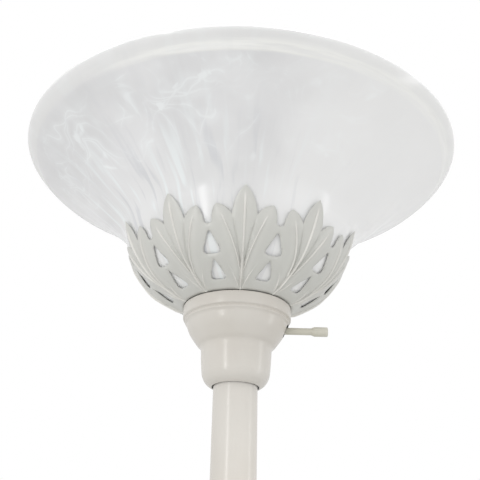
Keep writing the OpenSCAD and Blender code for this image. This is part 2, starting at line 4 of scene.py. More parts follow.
import bmesh
import bpy
from mathutils import Matrix, Vector


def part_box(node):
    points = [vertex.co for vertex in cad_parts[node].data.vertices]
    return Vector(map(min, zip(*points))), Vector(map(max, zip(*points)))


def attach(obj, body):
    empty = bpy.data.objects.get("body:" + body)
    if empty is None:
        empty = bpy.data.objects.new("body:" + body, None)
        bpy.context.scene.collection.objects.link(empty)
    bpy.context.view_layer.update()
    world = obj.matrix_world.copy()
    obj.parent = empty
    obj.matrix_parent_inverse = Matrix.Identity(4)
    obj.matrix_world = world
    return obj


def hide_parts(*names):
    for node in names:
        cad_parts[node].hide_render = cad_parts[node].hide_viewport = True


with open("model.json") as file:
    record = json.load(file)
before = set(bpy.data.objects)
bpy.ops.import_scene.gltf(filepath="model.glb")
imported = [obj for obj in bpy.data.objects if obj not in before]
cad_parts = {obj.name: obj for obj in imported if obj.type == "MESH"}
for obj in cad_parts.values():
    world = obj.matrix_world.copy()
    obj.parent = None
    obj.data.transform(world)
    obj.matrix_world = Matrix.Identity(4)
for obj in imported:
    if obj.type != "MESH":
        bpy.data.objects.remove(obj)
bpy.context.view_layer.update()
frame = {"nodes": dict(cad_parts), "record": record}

MM = 0.001

# ---- Sizes taken from the frame, in millimetres ----


def span(node, axis):
    """Lowest and highest place of a node along an axis."""
    low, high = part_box(node)
    return low[axis] / MM, high[axis] / MM


RIM_R, RIM_Z = -span("glass_shade", 0)[0], span("glass_shade", 2)[1]
GLASS_Z = span("glass_shade", 2)[0]
CUP_Z, SEAM_Z = span("socket_cup", 2)
CUP_R = span("socket_cup", 0)[1]
CUP_H = SEAM_Z - CUP_Z
TIP_H = span("leaf_gallery", 2)[1] - SEAM_Z
POLE_R = span("pole_upper", 0)[1]
BASE_R = span("base_cover", 0)[1]
COVER_LOW, COVER_Z = span("base_cover", 2)
STEM_Z = sum(span("switch_stem", 2)) / 2
STEM_R = (span("switch_stem", 2)[1] - span("switch_stem", 2)[0]) / 2
KNOB_R = (span("switch_knob", 2)[1] - span("switch_knob", 2)[0]) / 2
KNOB_END = span("switch_knob", 0)[1]
INLET_Z = sum(span("inlet_bushing", 2)) / 2
# Width and height of the lip, from its crease out to the rim
LIP = Vector((10.3, 12.4))
# The side of the mould where the glass was poured in
POUR_SIDE = (-0.83, -0.56, 0.0)
# The side where the whiter glass curled as it cooled
SWIRL_SIDE = (-0.5, -0.87, 0.0)
SWIRL_SEED = 0.35
# The side where the glass is painted whiter, as painted light shining through from inside the bowl
GLOW_SIDE = (0.93, -0.37, 0.0)
# The side where the painted highlight on the lip's crease is brightest
CREASE_HIGHLIGHT_SIDE = (0.55, -0.83, 0.0)


# ---- Curves for outlines ----


def bend(a, b, c, steps):
    """The quadratic curve a, b, c."""
    a, b, c = Vector(a), Vector(b), Vector(c)
    ts = [i / steps for i in range(steps + 1)]
    return [(1 - t) ** 2 * a + 2 * t * (1 - t) * b + t * t * c for t in ts]


def smooth(points, steps):
    """A smooth curve through every point."""
    points = [Vector(p) for p in points]
    last = len(points) - 1
    curve = []
    for i in range(last):
        a, b = points[max(i - 1, 0)], points[i]
        c, d = points[i + 1], points[min(i + 2, last)]
        for k in range(steps):
            t = k / steps
            curve.append(
                b + (c - a) * t / 2
                + (2 * a - 5 * b + 4 * c - d) * t * t / 2
                + (3 * b - a - 3 * c + d) * t ** 3 / 2
            )
    return curve + [points[last]]


def beside(curve, distance):
    """The curve moved to its left by a distance."""
    last = len(curve) - 1
    moved = []
    for i, p in enumerate(curve):
        along = (curve[min(i + 1, last)] - curve[max(i - 1, 0)]).normalized()
        moved.append(p + distance * Vector((-along.y, along.x)))
    return moved


# ---- Mesh helpers ----

# Edges sharper than this stay crisp, in degrees
SHARP = 35


def finished(name, bm, node, slot, body="lamp", sharp=SHARP):
    """Turns a bmesh in millimetres into a piece that stands for one CAD node."""
    bmesh.ops.scale(bm, vec=(MM, MM, MM), verts=bm.verts)
    mesh = bpy.data.meshes.new(name)
    for face in bm.faces:
        face.smooth = True
    bm.to_mesh(mesh)
    bm.free()
    mesh.set_sharp_from_angle(angle=math.radians(sharp))
    mesh.materials.append(finish[slot])
    piece = bpy.data.objects.new(name, mesh)
    bpy.context.scene.collection.objects.link(piece)
    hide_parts(node)
    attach(piece, body)
    return piece


def tidy(bm):
    """Closes poles and seams, and turns every face outwards."""
    bmesh.ops.remove_doubles(bm, verts=bm.verts, dist=0.001)
    bmesh.ops.dissolve_degenerate(bm, edges=bm.edges, dist=0.0005)
    bmesh.ops.recalc_face_normals(bm, faces=bm.faces)


def turned(name, outline, node, slot, body="lamp", steps=144, lay=None):
    """Spins a closed outline of (radius, height) round the Z axis, then lays it in place."""
    bm = bmesh.new()
    verts = [bm.verts.new((p[0], 0, p[1])) for p in outline]
    edges = [bm.edges.new(pair) for pair in zip(verts, verts[1:] + verts[:1])]
    bmesh.ops.spin(bm, geom=verts + edges, axis=(0, 0, 1), cent=(0, 0, 0),
                   angle=math.tau, steps=steps, use_merge=True)
    if lay:
        bmesh.ops.transform(bm, matrix=lay, verts=bm.verts)
    tidy(bm)
    return finished(name, bm, node, slot, body)


# ---- Materials ----


def linear(hex_colour):
    """An sRGB hex colour as linear RGBA."""
    values = [int(hex_colour[i:i + 2], 16) / 255 for i in (1, 3, 5)]
    return [v / 12.92 if v <= 0.04045 else ((v + 0.055) / 1.055) ** 2.4 for v in values] + [1]


def add(tree, kind, output, settings=None, **inputs):
    """Adds a node with its settings, links and values, and returns one of its outputs.

    An input goes by its name, with _ for a space, or by its number, as in i0.
    """
    node = tree.nodes.new(kind)
    for key, value in (settings or {}).items():
        setattr(node, key, value)
    for key, value in inputs.items():
        socket = node.inputs[int(key[1:]) if key[1:].isdigit() else key.replace("_", " ")]
        if isinstance(value, bpy.types.NodeSocket):
            tree.links.new(value, socket)
        else:
            socket.default_value = value
    return node.outputs[output]


TIMES = {"operation": "MULTIPLY"}
TIMES_PLUS = {"operation": "MULTIPLY_ADD"}
LARGER = {"operation": "MAXIMUM"}
SOFT_STEP = {"interpolation_type": "SMOOTHSTEP"}


def tinted(tree, value, start, end, under, over, most=1.0):
    """Covers one colour with another, up to a share, as a value goes from start to end."""
    share = add(tree, "ShaderNodeMapRange", "Result", SOFT_STEP, Value=value, From_Min=start,
                From_Max=end, To_Max=most)
    under = linear(under) if isinstance(under, str) else under
    return add(tree, "ShaderNodeMix", 2, {"data_type": "RGBA"}, i0=share, i6=under,
               i7=linear(over))


def faded(tree, mask, value, start, end, low=0.0, high=1.0):
    """A mask times low to high, as a value goes from start to end with soft ends."""
    share = add(tree, "ShaderNodeMapRange", "Result", SOFT_STEP, Value=value, From_Min=start,
                From_Max=end, To_Min=low, To_Max=high)
    return add(tree, "ShaderNodeMath", 0, TIMES, i0=mask, i1=share)


def coated(name, colour, roughness, grain_mm, depth_mm, **constants):
    """A material whose colour(tree, place) is given, with uneven gloss and a fine grain."""
    material = bpy.data.materials.new(name)
    material.use_nodes = True
    tree = material.node_tree
    shader = tree.nodes["Principled BSDF"]
    for key, value in constants.items():
        shader.inputs[key.replace("_", " ")].default_value = value
    place = add(tree, "ShaderNodeTexCoord", "Object")
    grain = add(tree, "ShaderNodeTexNoise", 0, Vector=place, Scale=1 / (grain_mm * MM))
    gloss = add(tree, "ShaderNodeMapRange", "Result", Value=grain, From_Min=0.3, From_Max=0.7,
                To_Min=roughness[0], To_Max=roughness[1])
    bump = add(tree, "ShaderNodeBump", "Normal", Height=grain, Distance=depth_mm * MM)
    tree.links.new(colour(tree, place), shader.inputs["Base Color"])
    tree.links.new(gloss, shader.inputs["Roughness"])
    tree.links.new(bump, shader.inputs["Normal"])
    return material


def plain_finish(name, light, dark, roughness, grain_mm, depth_mm, cloud_mm=40, **constants):
    """A finish with slow clouds of a lighter and a darker colour."""

    def clouds(tree, place):
        lumps = add(tree, "ShaderNodeTexNoise", 0, Vector=place, Scale=1 / (cloud_mm * MM),
                    Detail=3)
        return tinted(tree, lumps, 0.35, 0.65, dark, light)

    gloss = (roughness * 0.88, roughness * 1.12)
    return coated(name, clouds, gloss, grain_mm, depth_mm, **constants)


# Heights of the relief where the painted shade in the grooves is deepest and the painted highlight on
# the ribs is palest
GROOVE_SHADE_AT, RIB_HIGHLIGHT_AT = 0.05, 0.6


def gallery_colour_with_painted_light(tree, place):
    """Painted highlight on the ribs, painted shade in the grooves, and a little uneven."""
    relief = add(tree, "ShaderNodeAttribute", "Fac", {"attribute_name": "relief"})
    colour = tinted(tree, relief, GROOVE_SHADE_AT, RIB_HIGHLIGHT_AT, "#d8d8d3", "#f1efea")
    lumps = add(tree, "ShaderNodeTexNoise", 0, Vector=place, Scale=1 / (30 * MM), Detail=3)
    return tinted(tree, lumps, 0.65, 0.35, colour, "#d0d0ca", 0.25)


# How far the wisps are pulled about, in metres
CURL = 0.04
# Each wisp: its change of seed, and in millimetres its height over the cup and how far it wanders
WISPS = ((0.0, 104, 22), (0.12, 108, 20), (0.3, 98, 20), (0.7, 112, 14), (1.3, 101, 26), (2.1, 92, 20))
# Half widths of a wisp's bright thread and of its halo, in millimetres
THREAD, HALO = 1.6, 6.5
# Height of the crease under the lip, which carries a painted highlight, in metres
CREASE = (RIM_Z - LIP.y) * MM


def over_cup(height):
    """A height over the cup in millimetres, as a place in metres."""
    return (SEAM_Z + height) * MM


def on_side(tree, mask, heading, side, start, end, low):
    """A mask kept on one side of the bowl, falling to a low share of it round the back."""
    turned_to = add(tree, "ShaderNodeVectorMath", "Value", {"operation": "DOT_PRODUCT"},
                    i0=heading, i1=side)
    return faded(tree, mask, turned_to, start, end, low)


def milky_glass_and_glow(tree, place, height, heading):
    """Cloudy white, with painted glow: whiter low in the bowl and whiter on one side, where light
    shines through from inside.
    """
    lumps = add(tree, "ShaderNodeTexNoise", 0, Vector=place, Scale=1 / (55 * MM), Detail=3)
    colour = tinted(tree, lumps, 0.3, 0.7, "#e3e3e4", "#ececed")
    # painted glow: whiter low in the bowl, where light from inside shines through between the leaves
    colour = tinted(tree, height, over_cup(95), over_cup(20), colour, "#f0f0ef", 0.75)
    # painted light: the clear mask makes one side of the glass whiter, where light shines through from
    # inside the bowl
    clear = on_side(tree, 1.0, heading, GLOW_SIDE, 0.3, 1.0, 0.0)
    return tinted(tree, clear, 0.0, 1.0, colour, "#f7f7f7", 0.8)


def lip_and_crease_highlight(tree, place, height, heading, colour):
    """The lip is greyer, and its crease carries a painted highlight, a white line that goes soft at
    the sides.
    """
    colour = tinted(tree, height, CREASE, CREASE + 0.003, colour, "#e8e8e7", 0.6)
    # fine level lines, drawn out about twenty times as long as they are high
    along_rim = add(tree, "ShaderNodeVectorMath", "Vector", TIMES, i0=place, i1=(22, 22, 420))
    brushed = add(tree, "ShaderNodeTexNoise", 0, Vector=along_rim, Scale=1.0, Detail=3)
    # the band is a painted highlight along the crease, broken up by the level lines and brightest on
    # one side
    band = faded(tree, 0.85, height, CREASE - 0.0012, CREASE + 0.0004)
    band = faded(tree, band, height, CREASE + 0.0085, CREASE + 0.0008)
    band = faded(tree, band, brushed, 0.35, 0.65, low=0.45)
    band = on_side(tree, band, heading, CREASE_HIGHLIGHT_SIDE, 0.1, 0.8, 0.1)
    return tinted(tree, band, 0.0, 1.0, colour, "#fafaf7")


def drawn_streaks(tree, place, height, heading, colour):
    """Fine lighter and darker streaks that run up the flare from where the melt ran in."""
    drawn_out = add(tree, "ShaderNodeVectorMath", "Vector", TIMES_PLUS,
                    i0=place, i1=(0, 0, 1.6), i2=heading)
    streak = add(tree, "ShaderNodeTexNoise", 0, Vector=drawn_out, Scale=14.0, Detail=2.0,
                 Roughness=0.55, Distortion=0.3)
    reach = faded(tree, 1.0, height, over_cup(66), over_cup(120), 0.75, 0.2)
    reach = on_side(tree, reach, heading, POUR_SIDE, -0.35, 0.85, 0.2)
    light, dark = faded(tree, reach, streak, 0.48, 0.7), faded(tree, reach, streak, 0.46, 0.3)
    colour = tinted(tree, light, 0.0, 1.0, colour, "#f3f7f8")
    return tinted(tree, dark, 0.0, 1.0, colour, "#dadbde", 0.8)


def wisp(tree, heading, curled, seed, level, wander):
    """A thread of white glass that wanders round the bowl, bright in a soft halo."""
    noise = add(tree, "ShaderNodeTexNoise", 0, {"noise_dimensions": "4D"}, Vector=heading,
                W=seed, Scale=2.4, Detail=1.2, Roughness=0.45, Distortion=0.3)
    middle = add(tree, "ShaderNodeMapRange", "Result", Value=noise, From_Min=0.25,
                 From_Max=0.75, To_Min=level - wander, To_Max=level + wander)
    off = add(tree, "ShaderNodeMath", 0, {"operation": "SUBTRACT"}, i0=curled, i1=middle)
    off = add(tree, "ShaderNodeMath", 0, {"operation": "ABSOLUTE"}, i0=off)
    return add(tree, "ShaderNodeMath", 0, LARGER, i0=faded(tree, 0.6, off, THREAD * MM, 0.0),
               i1=faded(tree, 0.4, off, HALO * MM, 0.0))


def curling_wisps(tree, place, height, heading, colour):
    """Whiter glass that curls through the flare on one side, among soft white swirls."""
    pull = add(tree, "ShaderNodeTexNoise", "Color", Vector=place, Scale=1 / (34 * MM), Detail=1.4)
    curled = add(tree, "ShaderNodeVectorMath", "Vector", TIMES_PLUS,
                 i0=pull, i1=(CURL, CURL, CURL), i2=place)
    curled = add(tree, "ShaderNodeSeparateXYZ", "Z", Vector=curled)
    mask = 0.0
    for change, level, wander in WISPS:
        thread = wisp(tree, heading, curled, SWIRL_SEED + change, over_cup(level) + CURL / 2,
                      wander * MM)
        mask = add(tree, "ShaderNodeMath", 0, LARGER, i0=mask, i1=thread)
    swirl = add(tree, "ShaderNodeTexNoise", 0, Vector=place, Scale=1 / (42 * MM), Detail=3,
                Roughness=0.55, Distortion=1.2)
    mask = add(tree, "ShaderNodeMath", 0, LARGER, i0=faded(tree, mask, swirl, 0.4, 0.6, low=0.3),
               i1=faded(tree, 0.7, swirl, 0.6, 0.7))
    mask = faded(tree, mask, height, over_cup(62), over_cup(84), high=0.8)
    mask = faded(tree, mask, height, CREASE + 0.002, CREASE - 0.004, low=0.15)
    mask = on_side(tree, mask, heading, SWIRL_SIDE, -0.1, 0.75, 0.25)
    return tinted(tree, mask, 0.0, 1.0, colour, "#fafdfe")


def alabaster_colour(tree, place):
    """The colour of pressed alabaster glass, layer by layer, with painted glow and a painted highlight
    on the crease.
    """
    height = add(tree, "ShaderNodeSeparateXYZ", "Z", Vector=place)
    flat = add(tree, "ShaderNodeVectorMath", "Vector", TIMES, i0=place, i1=(1, 1, 0))
    heading = add(tree, "ShaderNodeVectorMath", "Vector", {"operation": "NORMALIZE"}, i0=flat)
    colour = milky_glass_and_glow(tree, place, height, heading)
    for layer in (lip_and_crease_highlight, drawn_streaks, curling_wisps):
        colour = layer(tree, place, height, heading, colour)
    return colour


def all_finishes():
    """One material for each slot of the record."""
    return {
        # satin powder coat on spun steel: warm white, with the faint orange peel of cured powder
        "painted_steel": plain_finish("powder_coat_warm_white", "#dfdbd4", "#dad5cd", 0.24, 1.6,
                                      0.006, 60),
        # sprayed satin enamel on a zinc casting: cool grey white, with the casting's own grain, and
        # painted shade in the grooves and a painted highlight on the ribs
        "painted_casting": coated("sprayed_enamel_on_zinc", gallery_colour_with_painted_light, (0.28, 0.38), 0.9,
                                  0.015),
        # pressed alabaster glass, fire polished, with slow waves in its surface
        "alabaster_glass": coated("alabaster_glass", alabaster_colour, (0.14, 0.24), 22, 0.06,
                                  IOR=1.5, Subsurface_Weight=0.7, Subsurface_Radius=(1, 1, 1),
                                  Subsurface_Scale=0.006),
        # moulded cream plastic with a fine spark-eroded grain
        "cream_plastic": plain_finish("moulded_cream_plastic", "#d8d5c8", "#d2cfc1", 0.36, 0.5,
                                      0.008),
        # grey iron straight from the sand, rough and uneven
        "cast_iron": plain_finish("sand_cast_iron", "#4b4a49", "#333334", 0.72, 1.4, 0.12, 12,
                                  Metallic=0.6),
        # bright zinc plate, with the mottle of the plating bath
        "zinc_steel": plain_finish("zinc_plated_steel", "#c3c6ca", "#a4a9ae", 0.34, 0.8, 0.006, 8,
                                   Metallic=1.0),
        # drawn brass tube and turned parts
        "brass": plain_finish("drawn_brass", "#d9b76a", "#c29d52", 0.28, 0.4, 0.004, 9,
                              Metallic=1.0),
        # closed-cell foam sheet with cut skin
        "pad_foam": plain_finish("closed_cell_foam", "#3a3a3c", "#2b2b2d", 0.88, 0.9, 0.1, 15),
        # translucent silicone sheet
        "silicone": plain_finish("silicone_sheet", "#e6e6e1", "#dcdcd6", 0.5, 1.2, 0.01),
        # wood-flour phenolic, dark brown with flow marks
        "phenolic": plain_finish("moulded_phenolic", "#3b2417", "#2a190f", 0.3, 0.8, 0.01, 10),
        # urea moulding, white and slightly warm
        "white_plastic": plain_finish("moulded_white_plastic", "#ecece9", "#e3e3df", 0.34, 0.6,
                                      0.006),
        # frosted polycarbonate that spreads the light of the bulb
        "bulb_diffuser": plain_finish("frosted_diffuser", "#f6f6f3", "#efefeb", 0.5, 0.4, 0.006,
                                      Subsurface_Weight=0.3, Subsurface_Radius=(1, 1, 1),
                                      Subsurface_Scale=0.002),
        # nickel plate over brass
        "nickel": plain_finish("nickel_plate", "#cfcbc2", "#b9b4aa", 0.2, 0.5, 0.003, 6,
                               Metallic=1.0),
        # fused black glass round the bulb's tip
        "black_glass": plain_finish("fused_black_glass", "#141414", "#0b0b0b", 0.12, 2.0, 0.01),
        # oiled steel left bare inside the cup and round its drilled hole, made dark also as painted
        # shade inside the cup and in the holes
        "bare_steel": plain_finish("bare_steel_with_painted_shade", "#3c3b39", "#2a2a29", 0.5, 0.8, 0.01, 9,
                                   Metallic=1.0),
        # extruded lead cover with a drawn satin skin
        "cord_pvc": plain_finish("extruded_pvc", "#e4e1da", "#dad6cd", 0.45, 1.0, 0.01),
    }


finish = all_finishes()
for part in frame["record"]["subparts"]:
    cad = frame["nodes"][part["node"]]
    cad.data.materials.clear()
    cad.data.materials.append(finish[part["material_slot"]])

# ---- Glass shade ----

GLASS_T = 4.5
GALLERY_WALL = 1.8
GLASS_GAP = 0.6
RAISED_SEAT = GLASS_Z - SEAM_Z
# Edge of the round hole that the socket's sleeve comes up through
HOLE_R = span("socket_sleeve", 0)[1] + 1.6
# The gallery's bowl, as shares of the way from the cup's edge to the leaf tips
BOWL = ((0, 0), (0.244, 0.108), (0.566, 0.31), (0.788, 0.579), (0.93, 0.848), (1, 1))
TIP_R = 97.0
gallery_curve = smooth([(CUP_R + u * (TIP_R - CUP_R), v * TIP_H) for u, v in BOWL], 8)
# The flare above the leaves, as shares of the way from their tips to the lip's crease
FLARE = ((0.06, 0.115), (0.165, 0.245), (0.283, 0.376), (0.405, 0.507),
         (0.564, 0.671), (0.765, 0.835), (1, 1))


def shade_outline():
    """Outside of the glass from its seat to the rim, then back down the inside."""
    up = Vector((0, RAISED_SEAT))
    inside_gallery = beside(gallery_curve, GALLERY_WALL + GLASS_GAP)
    hold = [p - up for p in inside_gallery if p.y > RAISED_SEAT + 1.2]
    mouth = hold[-1]
    crease = Vector((RIM_R - LIP.x, RIM_Z - GLASS_Z - LIP.y))
    reach = crease - mouth
    flare = [mouth + Vector((u * reach.x, v * reach.y)) for u, v in FLARE]
    top = RIM_Z - GLASS_Z
    outer = [Vector((hold[0].x - 5, 0)), Vector((hold[0].x - 2, 0.3))]
    outer += smooth(hold[:-5:4] + [mouth] + flare, 8)
    outer += bend(crease + Vector((0.5, 0.25)), (RIM_R - 0.4 * LIP.x, top - 0.62 * LIP.y),
                  (RIM_R - 0.5, top - 3), 8)
    inner = [p for p in beside(outer, GLASS_T) if GLASS_T + 0.4 < p.y < top - 0.4]
    rim = bend((RIM_R, top - 2.2), (RIM_R, top), (RIM_R - 2.4, top), 6)
    rim += bend((RIM_R - 3, top), (RIM_R - 4, top), inner[-1], 3)[:-1]
    outline = [Vector((HOLE_R, 0.6)), Vector((HOLE_R + 0.6, 0))] + outer + rim + inner[::-1]
    outline += [Vector((outer[0].x - 2, GLASS_T)), Vector((HOLE_R + 0.6, GLASS_T)),
                Vector((HOLE_R, GLASS_T - 0.6))]
    return [(p.x, p.y + GLASS_Z) for p in outline]


turned("shade", shade_outline(), "glass_shade", "alabaster_glass", steps=192)

# ---- Leaf gallery ----

LEAVES = 10
PALMETTE = 360 / LEAVES
# How far the first palmette stands round from the front, in degrees
LEAF_TURN = 2.5
# On one palmette: angles from its middle in degrees, heights over the cup in millimetres
NOTCH = Vector((6.1, 0.672 * TIP_H))
SIDE_TIP = Vector((13.2, 0.793 * TIP_H))
GAP_SIDE = Vector((16.0, 0.613 * TIP_H))
GAP_FLOOR = 0.582 * TIP_H


def gallery_radius(height):
    """Radius of the gallery's outside at a height over the cup."""
    for a, b in zip(gallery_curve, gallery_curve[1:]):
        if height <= b.y:
            return a.x + (b.x - a.x) * (height - a.y) / (b.y - a.y)
    a, b = gallery_curve[-2:]
    return b.x + (b.x - a.x) * (height - b.y) / (b.y - a.y)


def leaf_edge():
    """Half of a palmette's edge, from the middle lobe's tip out to the gap's middle."""
    tip = Vector((0, TIP_H))
    edge = bend(tip, (NOTCH.x * 0.82, NOTCH.y + 0.62 * (tip.y - NOTCH.y)), NOTCH, 9)
    edge += bend(NOTCH, (NOTCH.x + 0.3 * (SIDE_TIP.x - NOTCH.x),
                         NOTCH.y + 0.8 * (SIDE_TIP.y - NOTCH.y)), SIDE_TIP, 7)[1:]
    edge += bend(SIDE_TIP, (SIDE_TIP.x + 0.9 * (GAP_SIDE.x - SIDE_TIP.x),
                            GAP_SIDE.y + 0.75 * (SIDE_TIP.y - GAP_SIDE.y)), GAP_SIDE, 7)[1:]
    edge += bend(GAP_SIDE, (GAP_SIDE.x + 0.1, GAP_FLOOR), (PALMETTE / 2, GAP_FLOOR), 5)[1:]
    return edge


# Half a window as shares of its half width and of its height over the sill
WINDOW = ((0, 1), (0.13, 0.94), (0.36, 0.72), (0.65, 0.45), (0.93, 0.21),
          (1.0, 0.12), (0.93, 0.04), (0.75, 0.0), (0.35, -0.02))


def window_outline(half_width, sill, apex):
    """A three-sided window round the gap's middle, with soft lower corners."""
    side = [Vector((u * half_width, sill + v * (apex - sill))) for u, v in WINDOW]
    mirrored = [Vector((-p.x, p.y)) for p in side[:0:-1]]
    return [p + Vector((PALMETTE / 2, 0)) for p in side + mirrored]


WINDOWS = (window_outline(5.0, 16.7, 30.0), window_outline(5.9, 4.2, 13.4))
# The casting thins out within this of its cut edges, to this share of its wall
EDGE_REACH, EDGE_WALL = 2.4, 0.28
# Its outside is rounded off within this of its cut edges, by this much
LOBE_REACH, EDGE_DROP = 3.2, 0.8
# Grid lines across and up the flat sheet, which let it bend
COLUMNS, ROWS = 22, 30


class Rib:
    """A raised line on a palmette: straight in angle and height, tapering at both ends."""

    def __init__(self, start, end, width, height):
        self.start, self.end = Vector(start), Vector(end)
        self.lean = (self.end.x - self.start.x) / (self.end.y - self.start.y)
        self.width, self.height = width, height

    def rise(self, angle, height):
        """How far the line stands out at a place on the palmette."""
        across = (angle - self.start.x - self.lean * (height - self.start.y)) / self.width
        if abs(across) >= 1 or not self.start.y <= height <= self.end.y:
            return 0.0
        fade = min(1.0, (height - self.start.y) / 3 + 0.4, (self.end.y - height) / 7)
        return self.height * fade * (1 - across * across) ** 1.5


def palmette_ribs(middle, side):
    """The ribs of a half palmette whose middle is at an angle, growing towards a side."""
    return [
        Rib((middle, -1), (middle, 0.92 * TIP_H), 0.62, 1.4),
        Rib((middle + side * 1.2, 8.5), (middle + side * 11.3, 41), 0.55, 1.3),
        Rib((middle + side * 1.0, 0), (middle + side * 10.6, 12.5), 0.8, 0.8),
        Rib((middle + side * 1.0, 10), (middle + side * NOTCH.x, NOTCH.y), 0.7, -0.8),
    ]


RIBS = palmette_ribs(0, 1) + palmette_ribs(PALMETTE, -1)


def crown(angle, height):
    """How far the lobes swell between their grooves."""
    away = min(angle, PALMETTE - angle)
    groove = max(1.0, 1.0 + (NOTCH.x - 1.0) * (height - 10) / (NOTCH.y - 10))
    if away < groove:
        return 0.35 * (1 - (away / groove) ** 2)
    outer = max(groove + 1, min(PALMETTE / 2, 6 + 0.28 * height))
    share = min(1.0, (away - groove) / (outer - groove))
    return 0.4 * math.sin(math.pi * share) ** 2


def edge_distance(point, loops):
    """Distance in millimetres from a point to the nearest edge of the sheet."""
    scale = math.radians(gallery_radius(point.y))
    best = math.inf
    for loop in loops:
        for a, b in loop:
            start = Vector(((a.x - point.x) * scale, a.y - point.y))
            along = Vector(((b.x - a.x) * scale, b.y - a.y))
            t = min(1, max(0, -start.dot(along) / along.length_squared))
            best = min(best, (start + t * along).length)
    return best


def cut_lines(bm):
    """Cuts the flat sheet into a grid, with closer lines along each rib."""
    across, up = Vector((1, 0, 0)), Vector((0, 1, 0))
    cuts = [(across * PALMETTE * (i + 0.5) / COLUMNS, across) for i in range(COLUMNS)]
    cuts += [(up * TIP_H * (i + 0.5) / ROWS, up) for i in range(ROWS)]
    for rib in RIBS:
        for share in (-1, -0.45, 0, 0.45, 1):
            foot = Vector((rib.start.x + share * rib.width, rib.start.y, 0))
            cuts.append((foot, Vector((1, -rib.lean, 0))))
    for point, normal in cuts:
        bmesh.ops.bisect_plane(bm, geom=bm.verts[:] + bm.edges[:] + bm.faces[:], dist=0.02,
                               plane_co=point, plane_no=normal)


def loop_of(bm, points):
    """The edges of a closed flat outline."""
    verts = [bm.verts.new((p.x, p.y, 0)) for p in points]
    return [bm.edges.new(pair) for pair in zip(verts, verts[1:] + verts[:1])]


def flat_sector():
    """A flat sheet from palmette to palmette with its windows cut, and the edges of its cuts."""
    edge = leaf_edge()
    far_edge = [Vector((PALMETTE - p.x, p.y)) for p in edge[::-1]][1:]
    top = edge + far_edge
    border = [Vector((0, 0))] + top + [Vector((PALMETTE, 0))]
    bm = bmesh.new()
    edges = loop_of(bm, border)
    for outline in WINDOWS:
        edges += loop_of(bm, outline)
    bmesh.ops.triangle_fill(bm, use_beauty=True, edges=edges)
    cut_lines(bm)
    bmesh.ops.remove_doubles(bm, verts=bm.verts, dist=0.01)
    loops = [list(zip(top, top[1:]))]
    loops += [list(zip(w, w[1:] + w[:1])) for w in WINDOWS]
    return bm, loops


def raise_and_bend(bm, loops):
    """Raises the flat sheet into relief and bends it to the bowl."""
    relief = bm.verts.layers.float.new("relief")
    inland = bm.verts.layers.float.new("inland")
    for vert in bm.verts:
        angle, height = vert.co.x, max(0.0, vert.co.y)
        rise = crown(angle, height) + sum(rib.rise(angle, height) for rib in RIBS)
        near = edge_distance(Vector((angle, height)), loops)
        rounding = EDGE_DROP * max(0.0, 1 - near / LOBE_REACH) ** 1.6
        base_fade = min(1.0, 0.25 + height / 5)
        radius = gallery_radius(height)
        slope = (gallery_radius(height + 0.5) - gallery_radius(height)) / 0.5
        out = Vector((1, -slope)).normalized() * (rise * base_fade - rounding)
        turn_by = math.radians(angle + LEAF_TURN - 90)
        # the relief that sets the painted shade and highlight also drops towards the rounded cut
        # edges, which darkens them with painted shade
        vert[relief] = rise / 2 - rounding * 0.3
        vert[inland] = min(1.0, near / EDGE_REACH)
        ring_r = radius + out.x
        vert.co = (ring_r * math.cos(turn_by), ring_r * math.sin(turn_by),
                   SEAM_Z + height + out.y)


def gallery_piece():
    """Repeats the sector round the ring and gives it its wall."""
    bm, loops = flat_sector()
    raise_and_bend(bm, loops)
    bmesh.ops.spin(bm, geom=bm.verts[:] + bm.edges[:] + bm.faces[:], axis=(0, 0, 1),
                   cent=(0, 0, 0), angle=math.tau * (LEAVES - 1) / LEAVES, steps=LEAVES - 1,
                   use_duplicate=True)
    tidy(bm)
    # the open sheet has to face outwards before its wall is put on inside it
    if sum(f.normal.x * f.calc_center_median().x + f.normal.y * f.calc_center_median().y
           for f in bm.faces) < 0:
        bmesh.ops.reverse_faces(bm, faces=bm.faces)
    piece = finished("gallery", bm, "leaf_gallery", "painted_casting", sharp=50)
    thick = piece.vertex_groups.new(name="thick")
    for vert, share in zip(piece.data.vertices, piece.data.attributes["inland"].data):
        thick.add([vert.index], share.value, "REPLACE")
    wall = piece.modifiers.new("wall", "SOLIDIFY")
    wall.thickness = GALLERY_WALL * MM
    wall.offset = -1
    wall.vertex_group = "thick"
    wall.thickness_vertex_group = EDGE_WALL


gallery_piece()

# ---- Socket cup and foot collar ----

CUP_WALL = 2.0
BAND_H = 10.1
NECK_R = POLE_R + 10.6
SEAT_DEPTH = 10.0
CUP_FLOOR = 3.0
# Radius of the clear holes for the threaded nipples
BORE_R = 5.2
# Width of the fine dark seams over the cup and round the pole
SEAM = 0.35


